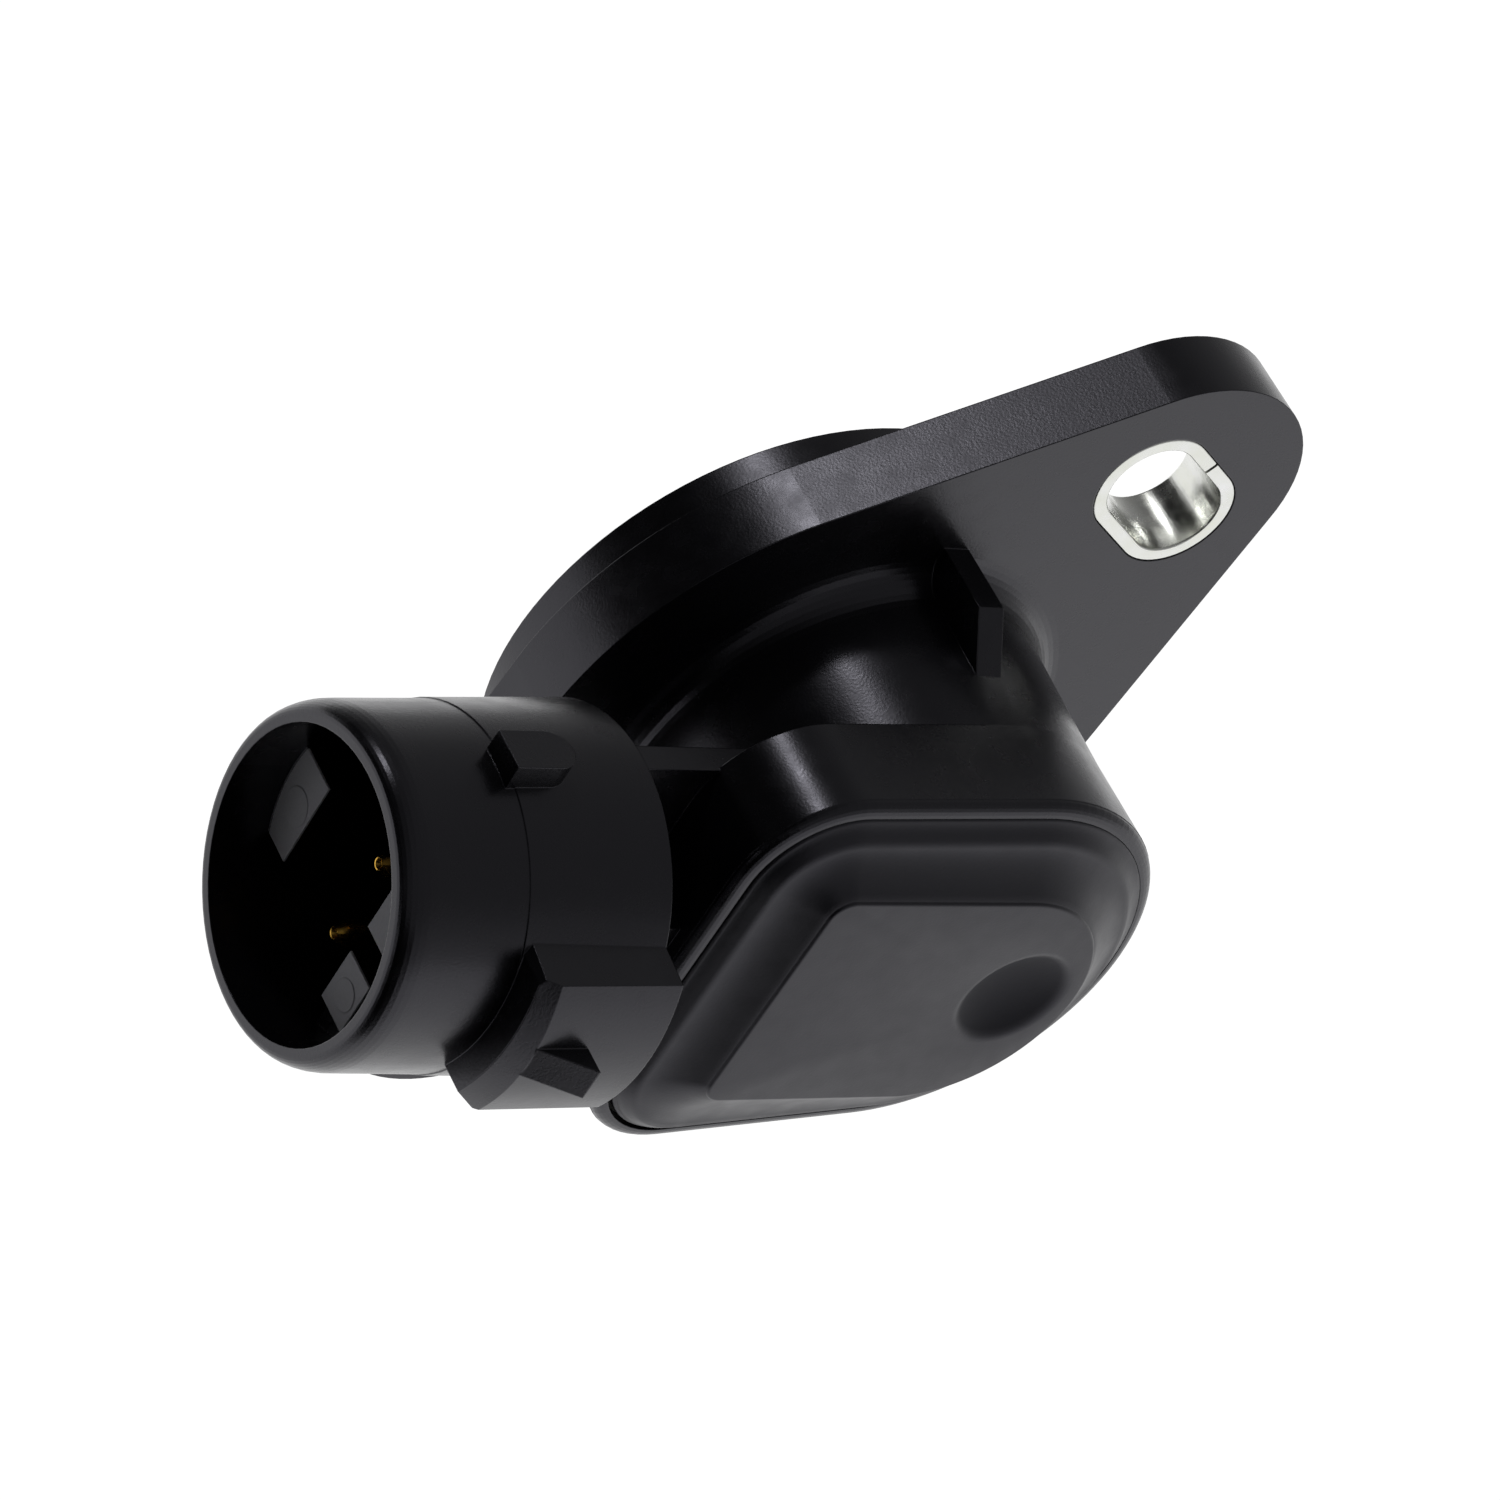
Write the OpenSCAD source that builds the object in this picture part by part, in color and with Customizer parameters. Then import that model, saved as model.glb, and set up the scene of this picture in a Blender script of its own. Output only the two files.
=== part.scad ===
// Throttle position sensor: a sealed rotary sensor with a flanged housing and a round plug socket.
// X runs along the plug socket with its mouth at -X. Y is the rotor's axis, with the throttle at +Y
// and the front cover at -Y. Z is up. The origin is on the rotor's axis, on the mounting face.
// Depths below are millimetres from the mounting face towards the cover.

/* [Mounting plate] */
// Thickness of the mounting plate
plate_t = 4.5; // [4.2:0.1:5]
// Radius of the plate's round middle
plate_r = 20.8; // [20.4:0.1:22]
// Distance between the two bolt slots, centre to centre
slot_pitch = 50.4; // [49:0.2:54]
// Angle of the ears from the plug socket's axis
ear_angle = 58; // [50:1:66]
// Radius of each ear
ear_r = 9.1; // [8.4:0.1:10]
// Radius of the pilot spigot behind the plate
spigot_r = 18.3; // [17.9:0.1:18.8]
// Height of the pilot spigot
spigot_h = 3.6; // [3.4:0.1:4.4]
// Clear width of a bolt slot
slot_w = 5.7; // [5.6:0.05:6.2]
// Clear length of a bolt slot
slot_l = 9.95; // [9:0.05:11]
// Wall of the rolled steel sleeves
sleeve_wall = 0.95; // [0.8:0.05:1.1]
// Gap at the sleeve's seam
sleeve_seam = 0.25; // [0.15:0.05:0.4]

/* [Turret and cap] */
// Radius of the round turret where it meets the cap
turret_r = 13.7; // [13.5:0.1:14.2]
// How much wider the turret is at its foot
turret_draft = 0.35; // [0.1:0.05:0.6]
// Radius of the fillet at the turret's foot
foot_fillet = 2; // [1:0.1:2.5]
// Height of the cap's straight wall, from its back ledge to its rounded rim
cap_h = 5.7; // [5.5:0.1:6]
// Depth where the cap's outer wall turns into its rounded rim
rim_d = 21.4; // [21.2:0.05:21.5]
// Height of the rounded rim
rim_h = 0.65; // [0.5:0.05:0.75]
// Width of the rim around the cover
rim_w = 0.95; // [0.85:0.05:1.05]
// Reach of the cap towards the plug socket
cap_left = 19.3; // [18.8:0.1:19.8]
// Slope of the cap's top wall, in degrees
cap_slope = 1.3; // [0:0.1:3]
// Flare of the cap's bottom wall, in degrees
cap_flare = 6.4; // [3:0.2:8]
// Radius of the cap's two corners
cap_corner = 6.5; // [6:0.1:7]
// Wall of the cap around the resistor board
cap_wall = 1.7; // [1.6:0.05:1.9]
// Width of the stiffening rib on the turret
rib_w = 1.85; // [1.4:0.05:2.4]
// Height of the stiffening rib above the axis
rib_top = 16.6; // [16:0.1:17.2]

/* [Front cover] */
// Thickness of the seal under the cover's edge
seal_t = 0.3; // [0.2:0.05:0.4]
// Open seam between the rim and the cover
seam_w = 0.15; // [0.1:0.01:0.2]
// Height of the crease round the cover, above the rim
crease_h = 0.87; // [0.8:0.01:0.95]
// Distance of the crease from the cap's wall
crease_in = 2.2; // [2:0.05:2.4]
// Height of the raised pad above the crease
pad_h = 1.85; // [1.6:0.05:2.1]
// Half height of the raised pad
pad_r = 8.5; // [8:0.1:9]
// Reach of the pad towards the plug socket
pad_left = 14.2; // [13.8:0.1:14.6]
// Radius of the dished mark on the pad
dish_r = 3.63; // [3:0.01:4]
// Depth of the dished mark
dish_depth = 1.25; // [0.8:0.05:1.4]
// Distance of the dished mark from the rotor's axis
dish_x = 3.6; // [3:0.1:4]
// Thickness of the cover's roof over the dished mark
roof_t = 1.15; // [1:0.05:1.3]

/* [Plug socket] */
// Distance from the rotor's axis to the socket's mouth
mouth_x = 42; // [41:0.1:44]
// Distance of the socket's axis behind the start of the rounded rim
plug_drop = 5.4; // [5.3:0.05:5.5]
// Inner radius of the socket
plug_r = 8.8; // [8.7:0.05:9]
// Outer radius of the socket at its mouth
barrel_r = 10.15; // [10.1:0.05:10.5]
// Outward slope of the socket's outside, mm for each mm
barrel_draft = 0.0247; // [0.01:0.0005:0.03]
// Length of the socket's outside
barrel_l = 17.3; // [16.8:0.1:17.8]
// Length of the socket's hollow
socket_l = 14.5; // [14:0.1:15]
// Radius of the latch block's outer face
latch_r = 12.75; // [12.4:0.05:13.1]
// Half width of the latch block
latch_w = 5.3; // [5:0.1:5.8]
// Distance from the mouth to the latch block and the keying lug
latch_start = 7.3; // [7:0.1:7.6]
// Height of the ramp tooth on the latch block
tooth_h = 1.65; // [1.2:0.05:2]
// Height of the keying lug above the rotor's axis
lug_top = 11.75; // [11.5:0.05:12.2]
// Length of the keying lug
lug_l = 4.3; // [4:0.1:4.6]
// Width of the keying lug, whose back end is round
lug_w = 2.75; // [2.5:0.05:3]
// Distance from the mouth to the moulded keys inside the socket
key_set_back = 3.6; // [3.2:0.1:4]
// Distance between neighbouring pins
pin_pitch = 5.7; // [5.6:0.05:5.8]
// Offset of the row of pins from the socket's axis
pin_offset = 1.6; // [1.55:0.05:1.8]
// Radius of a pin
pin_r = 0.75; // [0.7:0.01:0.77]
// Distance from the mouth to the pins' tips
pin_set_back = 6; // [5:0.1:7]

/* [Rotor and spring] */
// Radius of the rotor's shaft
shaft_r = 5; // [4.8:0.05:5.05]
// Radius of the D-shaped drive socket
drive_r = 3.2; // [3:0.05:3.4]
// Depth of the drive socket
drive_l = 6.5; // [5.5:0.1:7.5]
// Distance of the drive socket's flat from the axis
drive_flat = 2.4; // [2.35:0.05:2.45]
// Clearance round the rotor's head
head_gap = 0.6; // [0.4:0.05:0.8]
// Diameter of the spring's wire
spring_wire = 0.8; // [0.6:0.05:0.9]
// Turns of the spring
spring_turns = 4.5; // [3.5:1:5.5]
// Length of the rotor's bearing hub above the mounting face
hub_top = 8.5; // [8.4:0.1:8.8]

/* [Hidden] */
$fn = 96;
tiny = 0.02;
running = 0.03;
gap = 0.3;

// Depths of the cap and its cover
cap_back = rim_d - cap_h;
rim_top = rim_d + rim_h;
crease_d = rim_top + crease_h;
pad_d = crease_d + pad_h;
plug_d = rim_d - plug_drop;

// Depths inside the housing
floor_d = 3;
cap_floor = cap_back + 1.7;
board_t = 1;
ledge_w = 1.2;
skirt_gap = 0.05;
board_back = rim_d - 2;
board_front = board_back + board_t;
seal_d = rim_d - 0.4;
cover_d = seal_d + seal_t;
seam = rim_w + seam_w;
cover_shift = [0.12, 0.06];
cover_roof = pad_d - dish_depth - roof_t;
dish_round = (dish_r * dish_r + dish_depth * dish_depth) / (2 * dish_depth);
cavity_r = turret_r - cap_wall - ledge_w;
film = 0.15;

// Outline of the cap
corner_x = -cap_left + cap_corner;
slope = [-sin(cap_slope), cos(cap_slope)];
flare = [sin(cap_flare), -cos(cap_flare)];
top_corner_z = (turret_r - cap_corner - slope[0] * corner_x) / slope[1];
low_corner_z = (turret_r - cap_corner - flare[0] * corner_x) / flare[1];
pad_corner = 1.4;

// Rotor stack
seal_counter_r = shaft_r + 2.2;
seal_back = -spigot_h + 1.2;
seal_front = 0.6;
bush_r = shaft_r + 1.1;
hub_r = bush_r + 1.3;
clip_t = 0.5;
clip_back = -spigot_h + gap;
clip_r = seal_counter_r + 0.5;
clip_groove_r = shaft_r - 0.55;
washer_t = 0.5;
washer_d = hub_top + 0.05;
head_d = washer_d + washer_t + 0.05;
head_t = 2;
head_r = cavity_r - head_gap;
post_d = board_back - 2.9;
carrier_t = 1.2;
carrier_r = head_r - 0.7;
stub_r = 1.95;
track_face = board_back - film;
brush_d = post_d + carrier_t;
brush_t = 0.25;
brush_tip = track_face - gap;
track_r = 7.3;
ring_r = 3.9;
rivet_r = 0.6;
rivet_x = 5.6;
rivet_z = 1.9;
brush_w = 6.4;
brush_back = 1.1;
brush_front = 1.3;
finger_w = 0.9;

// Return spring
wire_r = spring_wire / 2;
spring_r = (hub_r + cavity_r) / 2;
spring_low = floor_d + gap + wire_r;
spring_high = hub_top - wire_r;
spring_start = -100;
spring_steps = 40;
spring_sides = 10;
leg_l = cavity_r - spring_r + 1;

// Plug socket
barrel_back = -mouth_x + barrel_l;
socket_floor = -mouth_x + socket_l;
pin_d = plug_d - pin_offset;
tail_x = -16.2;
tail_w = 1.2;
tail_t = 0.8;
tail_top = board_front + 0.6;
tip_chamfer = 0.25;
solder_r = 1.25;
solder_h = 0.45;
pin_rows = [-1, 0, 1];
neck_z = pin_pitch + 1.5;
latch_front = -mouth_x + latch_start;
lug_back = latch_front + lug_l;
bevel_l = 1.9;
tooth_front = latch_front + 1.85;
tooth_back = tooth_front + 3.45;
latch_skew = 0.7;
step_x = latch_front + 0.6;
key_front = -mouth_x + key_set_back;

// Seals
oring_r = 0.95;
oring_ring_r = spigot_r - 3.8;
oring_floor = -spigot_h + 1.5;

// Stands a flat shape in the X and Z plane between two depths
module slab(d0, d1) {
    rotate([90, 0, 0]) translate([0, 0, d0]) linear_extrude(d1 - d0) children();
}

// Turns a profile of radius and depth about the rotor's axis
module turned() {
    rotate([90, 0, 0]) rotate_extrude() children();
}

// Turns a profile of radius and X about the plug socket's axis
module turned_plug() {
    translate([0, -plug_d, 0]) rotate([90, 0, 90]) rotate_extrude() children();
}

// Block given by its X range, depth range and Z range
module block(x, d, z) {
    translate([x[0], -d[1], z[0]]) cube([x[1] - x[0], d[1] - d[0], z[1] - z[0]]);
}

module ring(ra, rb, d0, d1) {
    slab(d0, d1) difference() {
        circle(rb);
        circle(ra);
    }
}

// Quarter of an ellipse, used for roundings: centre, half sizes, start and end angle
function arc(c, a, b, from, to, n = 8) =
    [for (i = [0:n]) c + [a * cos(from + (to - from) * i / n), b * sin(from + (to - from) * i / n)]];

// Slot outline, long across the ear
module stadium(w, l) {
    for (s = [-1, 1]) translate([0, s * (l - w) / 2]) circle(w / 2);
    square([w, l - w], center = true);
}

// Places a flat shape at the centre of an ear, with its first axis pointing outwards
module at_ear(side) {
    rotate(ear_angle + (side > 0 ? 0 : 180)) translate([slot_pitch / 2, 0]) children();
}

module plate_outline() {
    a = acos((plate_r - ear_r) / (slot_pitch / 2));
    circle(plate_r);
    for (s = [-1, 1]) {
        at_ear(s) circle(ear_r);
        rotate(ear_angle + (s > 0 ? 0 : 180)) polygon([
            [0, 0],
            plate_r * [cos(a), -sin(a)],
            [slot_pitch / 2, 0] + (ear_r - 0.003) * [cos(a), -sin(a)],
            [slot_pitch / 2, 0] + (ear_r - 0.003) * [cos(a), sin(a)],
            plate_r * [cos(a), sin(a)]]);
    }
}

// Outline of the cap, drawn in by an inset
module cap_outline(i = 0) {
    top = [corner_x, top_corner_z];
    low = [corner_x, low_corner_z];
    j = i + 0.003;
    circle(turret_r - i);
    translate(top) circle(cap_corner - i);
    translate(low) circle(cap_corner - i);
    polygon([
        (turret_r - j) * slope,
        top + (cap_corner - j) * slope,
        top,
        [-cap_left + j, top_corner_z],
        [-cap_left + j, low_corner_z],
        low,
        low + (cap_corner - j) * flare,
        (turret_r - j) * flare,
        [0, 0]]);
}

// The same outline as points at a depth, for the rounded rim and cover
function cap_ring(d, i, shift = [0, 0]) = [for (p = concat(
    arc(shift, turret_r - i, turret_r - i, cap_flare - 90, 90 + cap_slope, 56),
    arc(shift + [corner_x, top_corner_z], cap_corner - i, cap_corner - i, 90 + cap_slope, 180, 16),
    arc(shift + [corner_x, low_corner_z], cap_corner - i, cap_corner - i, 180, 270 + cap_flare, 16)))
    [p[0], -d, p[1]]];

// Outline of the raised pad as points at its depth, matched to the cap's outline
function pad_ring() = [for (p = concat(
    arc([0, 0], pad_r, pad_r, -90, 90, 56),
    arc([-pad_left + pad_corner, pad_r - pad_corner], pad_corner, pad_corner, 90, 180, 16),
    arc([-pad_left + pad_corner, pad_corner - pad_r], pad_corner, pad_corner, 180, 270, 16)))
    [p[0], -pad_d, p[1]]];

// Closed solid through a stack of rings of points
module stack(rings) {
    n = len(rings[0]);
    last = len(rings) - 1;
    sides = [for (k = [0:last - 1], i = [0:n - 1]) let (j = (i + 1) % n)
        [k * n + i, (k + 1) * n + i, (k + 1) * n + j, k * n + j]];
    ends = [[for (i = [0:n - 1]) i], [for (i = [0:n - 1]) last * n + n - 1 - i]];
    polyhedron([for (ring = rings) each ring], concat(sides, ends));
}

// Shape of one terminal, grown by a clearance for its channel
module terminal_shape(row, grow) {
    z = row * pin_pitch;
    translate([socket_floor + 1.2, -pin_d, z]) rotate([0, -90, 0])
        cylinder(r = pin_r + grow, h = mouth_x - pin_set_back + socket_floor + 1.2 - tip_chamfer, $fn = 48);
    block([socket_floor + 1, tail_x + tail_t / 2 + grow],
        [pin_d - tail_t / 2 - grow, pin_d + tail_t / 2 + grow],
        [z - tail_w / 2 - grow, z + tail_w / 2 + grow]);
    block([tail_x - tail_t / 2 - grow, tail_x + tail_t / 2 + grow],
        [pin_d - tail_t / 2 - grow, tail_top + grow],
        [z - tail_w / 2 - grow, z + tail_w / 2 + grow]);
}

// One terminal: a round pin with a chamfered tip, a flat run and a tail bent into the board
module terminal(row) {
    terminal_shape(row, 0);
    translate([-mouth_x + pin_set_back, -pin_d, row * pin_pitch]) rotate([0, 90, 0])
        cylinder(r1 = pin_r - tip_chamfer, r2 = pin_r, h = tip_chamfer, $fn = 48);
}

module turret() {
    foot = turret_r + turret_draft;
    turned() polygon(concat(
        [[0, 0], [foot + foot_fillet, 0], [foot + foot_fillet, plate_t]],
        arc([foot + foot_fillet, plate_t + foot_fillet], foot_fillet, foot_fillet, 270, 180),
        [[turret_r, cap_back + 0.01], [0, cap_back + 0.01]]));
}

module rib() {
    translate([0.37 - rib_w / 2, 0, 0]) rotate([90, 0, 90]) linear_extrude(rib_w) polygon([
        [0, cavity_r + 1.5],
        [-12, cavity_r + 1.5],
        [-12, turret_r + 0.1],
        [-12 + rib_top - turret_r - 0.1, rib_top],
        [0, rib_top]]);
}

module neck() {
    block([barrel_back - 0.5, corner_x + 3], [plug_d - 1.85, plug_d - 0.1], [-9.6, 9.6]);
    block([barrel_back - 0.5, -cavity_r - 0.5], [pin_d - 1.7, cap_back + 0.1], [-neck_z, neck_z]);
    block([barrel_back - 0.5, -cap_left + 0.5], [rim_d - 2.6, rim_d - 0.8], [-8.5, 1.7]);
}

// Rounded rim round the cover
module rim() {
    stack(concat([cap_ring(rim_d - 0.3, 0.06)],
        [for (a = [0:15:90]) cap_ring(rim_d + rim_h * sin(a), 0.03 + (rim_w - 0.06) * (1 - cos(a)))]));
}

// Outside of the plug socket with its rounded mouth
module barrel() {
    lip = 0.85;
    back_r = barrel_r + barrel_draft * barrel_l;
    step_r = barrel_r + barrel_draft * (step_x + mouth_x);
    turned_plug() polygon(concat(
        [[0, barrel_back], [0, -mouth_x]],
        arc([barrel_r - lip, -mouth_x + 2], lip, 2, 270, 360),
        [[step_r - 0.06, step_x], [step_r, step_x + 0.06], [back_r, barrel_back]]));
}

module lug() {
    r = lug_w / 2;
    translate([latch_front, -plug_d - 0.625, plug_r + 0.5]) linear_extrude(lug_top - plug_r - 0.5) {
        translate([0, -r]) square([lug_l - r, lug_w]);
        translate([lug_l - r, 0]) circle(r);
    }
}

module latch() {
    w = latch_w;
    intersection() {
        turned_plug() polygon([
            [0, latch_front], [latch_r - 0.75, latch_front], [latch_r, latch_front + bevel_l],
            [latch_r, barrel_back], [0, barrel_back]]);
        translate([latch_front, 0, 0]) rotate([90, 0, 90]) linear_extrude(barrel_back - latch_front)
            polygon([[-plug_d, -w - 0.75], [-plug_d, w + 0.75],
                [-plug_d - latch_r - 1, w - 0.35], [-plug_d - latch_r - 1, -w + 0.35]]);
        slab(plug_d - 1, plug_d + latch_r + 1) polygon([
            [latch_front + 0.02, -w + 1.4], [latch_front + bevel_l, -w - 0.1], [latch_front + 4, -w - 1],
            [barrel_back + 0.1, -w - 1], [barrel_back + 0.1, w + 1], [latch_front + latch_skew + 1.2, w + 1],
            [latch_front + latch_skew + 0.3, w - 0.15], [latch_front + latch_skew, w - 0.5]]);
    }
    translate([0, 0, -1]) linear_extrude(2.15) polygon([
        [tooth_front, -plug_d - latch_r + 0.05],
        [tooth_back, -plug_d - latch_r - tooth_h],
        [tooth_back, -plug_d - latch_r + 1],
        [tooth_front, -plug_d - latch_r + 1]]);
}

// Three moulded keys inside the plug socket, two with an ejector mark on the end
module plug_keys() {
    x = [key_front, socket_floor + 0.1];
    intersection() {
        translate([key_front, -plug_d, 0]) rotate([0, 90, 0]) cylinder(r = plug_r + 0.3, h = socket_l);
        union() {
            block(x, [plug_d - plug_r - 1, plug_d - 5.5], [-4.2, 1.7]);
            block([x[0] + 0.8, x[1]], [plug_d + 2.5, plug_d + 5.2], [-plug_r - 1, -2.5]);
            block([x[0], x[1]], [plug_d + 2.5, plug_d + 5.2], [-6.2, -2.5]);
            block(x, [plug_d + 2.6, plug_d + plug_r + 1], [-0.4, 2.8]);
        }
    }
    for (m = [[6.9, -1.25, 1.15], [-3.95, -4.5, 0.95]])
        translate([key_front - 0.05, m[0] - plug_d, m[1]]) rotate([0, 90, 0]) cylinder(r = m[2], h = 1);
}

// Hollow of the plug socket, a little wider at its mouth
module plug_hollow() {
    turned_plug() polygon([
        [0, -mouth_x - 1], [plug_r, -mouth_x - 1], [plug_r, socket_floor], [0, socket_floor]]);
}

module rotor_space() {
    difference() {
        slab(floor_d, board_back) circle(cavity_r);
        slab(0, hub_top) circle(hub_r);
    }
    slab(seal_front - 0.1, hub_top + 1) circle(bush_r + tiny);
    slab(seal_back - 0.2, seal_front) circle(seal_counter_r + tiny);
    slab(-spigot_h - 1, seal_back - 0.2) circle(clip_r + 0.7);
}

// Ring-shaped lightening pockets and the seal's groove in the back of the spigot
module back_pockets() {
    inner = clip_r + 2;
    outer = oring_ring_r - oring_r - 1.2;
    difference() {
        ring(inner, outer, -spigot_h - 1, floor_d - 2);
        for (a = [0:60:300]) rotate([0, a + 30, 0])
            block([-spigot_r, spigot_r], [-spigot_h - 2, floor_d], [-0.6, 0.6]);
    }
    ring(oring_ring_r - oring_r - 0.1, oring_ring_r + oring_r + 0.1, -spigot_h - 1, oring_floor);
}

module housing() {
    color("#26262a") difference() {
        union() {
            slab(0, plate_t) plate_outline();
            slab(-spigot_h, 1) circle(spigot_r);
            turret();
            rib();
            slab(cap_back, rim_d) cap_outline();
            rim();
            neck();
            barrel();
            lug();
            latch();
        }
        rotor_space();
        back_pockets();
        slab(cap_floor, rim_d + 1) cap_outline(cap_wall + ledge_w);
        slab(board_back, rim_d + 1) cap_outline(cap_wall);
        slab(seal_d, rim_d + 1) cap_outline(rim_w);
        for (s = [-1, 1]) slab(-1, plate_t + 1) at_ear(s)
            stadium(slot_w + 2 * sleeve_wall + 2 * tiny, slot_l + 2 * sleeve_wall + 2 * tiny);
        difference() {
            plug_hollow();
            plug_keys();
        }
        for (row = pin_rows) terminal_shape(row, tiny);
        spring_leg(0.1);
    }
}

module front_cover() {
    shift = cover_shift;
    cove = pad_h / 1.85;
    color("#2c2c30") difference() {
        union() {
            stack([cap_ring(cover_d, seam, shift), cap_ring(rim_top, seam, shift),
                cap_ring(rim_top + 0.2, seam + 0.25, shift), cap_ring(crease_d, crease_in),
                cap_ring(crease_d + 0.2 * cove, crease_in + 1.1), cap_ring(crease_d + 0.8 * cove, crease_in + 2.2),
                pad_ring()]);
            slab(board_front + skirt_gap, cover_d + 0.2) cap_outline(cap_wall + 0.05);
        }
        slab(board_front, cover_d + 0.3) cap_outline(cap_wall + ledge_w);
        block([-cap_left + cap_wall - 0.1, tail_x + 2], [board_front - 1, cover_d],
            [-pin_pitch - 1.7, pin_pitch + 1.7]);
        slab(cover_d, cover_roof) cap_outline(cap_wall + ledge_w + 1.7);
        translate([dish_x, -(pad_d - dish_depth) - dish_round, 0.4]) sphere(r = dish_round, $fn = 160);
    }
}

module cover_seal() {
    color("#141416") slab(seal_d, cover_d) difference() {
        cap_outline(rim_w + 0.02);
        cap_outline(cap_wall);
    }
}

module sleeve(side) {
    outer_w = slot_w + 2 * sleeve_wall;
    outer_l = slot_l + 2 * sleeve_wall;
    color("#9a9a9c") slab(0, plate_t) at_ear(side) difference() {
        stadium(outer_w, outer_l);
        stadium(slot_w, slot_l);
        translate([0, -sleeve_seam / 2]) square([outer_w, sleeve_seam]);
    }
}

module upper_sleeve() { sleeve(1); }

module lower_sleeve() { sleeve(-1); }

module upper_terminal() { color("#c9a24a") terminal(1); }

module middle_terminal() { color("#c9a24a") terminal(0); }

module lower_terminal() { color("#c9a24a") terminal(-1); }

// Solder fillets that hold the terminals' tails in the board
module solder_joints() {
    color("#b4b6b8") for (row = pin_rows) difference() {
        translate([tail_x, 0, row * pin_pitch]) turned() polygon([
            [0, board_front], [solder_r, board_front], [0.76 * solder_r, board_front + 0.45 * solder_h],
            [0.68 * solder_r, board_front + solder_h], [0, board_front + solder_h]]);
        terminal_shape(row, 0.01);
    }
}

module resistor_board() {
    color("#8d7f5e") difference() {
        slab(board_back, board_front) cap_outline(cap_wall + 0.05);
        for (row = pin_rows) terminal_shape(row, 0.06);
    }
}

// Part of a ring between two angles, for the printed tracks
module arc_strip(r, w, from, to) {
    difference() {
        circle(r + w / 2);
        circle(r - w / 2);
        polygon(concat([[0, 0]], [for (i = [0:6]) 3 * r * [cos(to + (from + 360 - to) * i / 6),
            sin(to + (from + 360 - to) * i / 6)]]));
    }
}

module resistive_track() {
    color("#1d1b1a") slab(track_face, board_back) arc_strip(track_r, 2.2, -155, 155);
}

module collector_track() {
    color("#a9a39a") slab(track_face, board_back) arc_strip(ring_r, 1.6, -165, 165);
}

// Printed lines that lead the tracks to the terminals
module conductor_lines() {
    end = track_r * [-cos(25), sin(25)];
    low_x = tail_x + 0.7;
    color("#b9b4a6") slab(track_face, board_back) {
        for (s = [-1, 1]) polygon([
            [end[0] - 1.1, s * (end[1] - 1)], [end[0] - 1.1, s * (end[1] + 1)],
            [low_x, s * (pin_pitch + 0.5)], [low_x, s * (pin_pitch - 0.5)]]);
        translate([low_x, -0.4]) square([-low_x - ring_r - 1.1, 0.8]);
    }
}

module drive_shape() {
    intersection() {
        circle(drive_r);
        translate([-drive_r, -drive_r]) square([2 * drive_r, drive_r + drive_flat]);
    }
}

module rotor() {
    color("#3a3a3d") difference() {
        union() {
            slab(-spigot_h, head_d + 0.1) circle(shaft_r);
            slab(head_d, head_d + head_t) circle(head_r);
            slab(head_d, post_d) circle(shaft_r);
            slab(post_d - 0.1, post_d + carrier_t) circle(stub_r);
        }
        slab(-spigot_h - 1, -spigot_h + drive_l) drive_shape();
        ring(clip_groove_r, shaft_r + 1, clip_back - 0.02, clip_back + clip_t + 0.02);
        spring_hook(0.1);
    }
}

module rotor_bush() {
    color("#a97f45") ring(shaft_r + running, bush_r, seal_front, hub_top);
}

module thrust_washer() {
    color("#c8c2b4") ring(shaft_r + 0.1, hub_r + 0.2, washer_d, washer_d + washer_t);
}

module retaining_clip() {
    color("#83858a") slab(clip_back, clip_back + clip_t) difference() {
        circle(clip_r);
        circle(clip_groove_r + 0.01);
        translate([0, -2.6]) square([clip_r + 1, 5.2]);
    }
}

module wiper_carrier() {
    color("#4a463d") difference() {
        slab(post_d, post_d + carrier_t) difference() {
            circle(carrier_r);
            circle(stub_r + 0.01);
            for (s = [-1, 1]) translate([0, s * (carrier_r - 2.4)]) circle(1.3);
        }
        for (s = [-1, 1]) rivet_at(s, 0.01);
    }
}

module rivet_at(side, grow) {
    translate([rivet_x, 0, side * rivet_z]) turned() square([rivet_r + grow, brush_d + brush_t + grow]);
}

// Springy contact: a base plate and two fingers that reach the two tracks
module wiper_brush() {
    reach = brush_tip - brush_d;
    color("#c9b27a") difference() {
        union() {
            block([rivet_x - brush_back, rivet_x + brush_front], [brush_d, brush_d + brush_t],
                [-brush_w / 2, brush_w / 2]);
            finger(rivet_x - 0.8, -track_r, rivet_z, reach);
            finger(rivet_x - 0.8, -ring_r, -rivet_z, reach);
        }
        for (s = [-1, 1]) rivet_at(s, 0.01);
    }
}

// One finger, bent up from the base plate, seen from the side
module finger(x0, x1, z, reach) {
    translate([0, 0, z - finger_w / 2]) linear_extrude(finger_w) polygon([
        [x0, -brush_d], [x0, -brush_d - brush_t], [x1 + 1.5, -brush_d - reach + 0.3],
        [x1 + 0.4, -brush_d - reach], [x1, -brush_d - reach], [x1, -brush_d - reach + 0.25],
        [x1 + 0.4, -brush_d - reach + 0.25], [x1 + 1.4, -brush_d - reach + 0.55],
        [x0 - 0.6, -brush_d]]);
}

module wiper_rivets() {
    color("#b9bbbd") for (s = [-1, 1]) {
        intersection() {
            rivet_at(s, 0);
            slab(post_d, brush_d + brush_t) circle(carrier_r);
        }
        translate([rivet_x, 0, s * rivet_z]) turned() polygon(concat([[0, brush_d + brush_t]],
            arc([0, brush_d + brush_t], 1, 0.45, 0, 90, 5)));
    }
}

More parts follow.
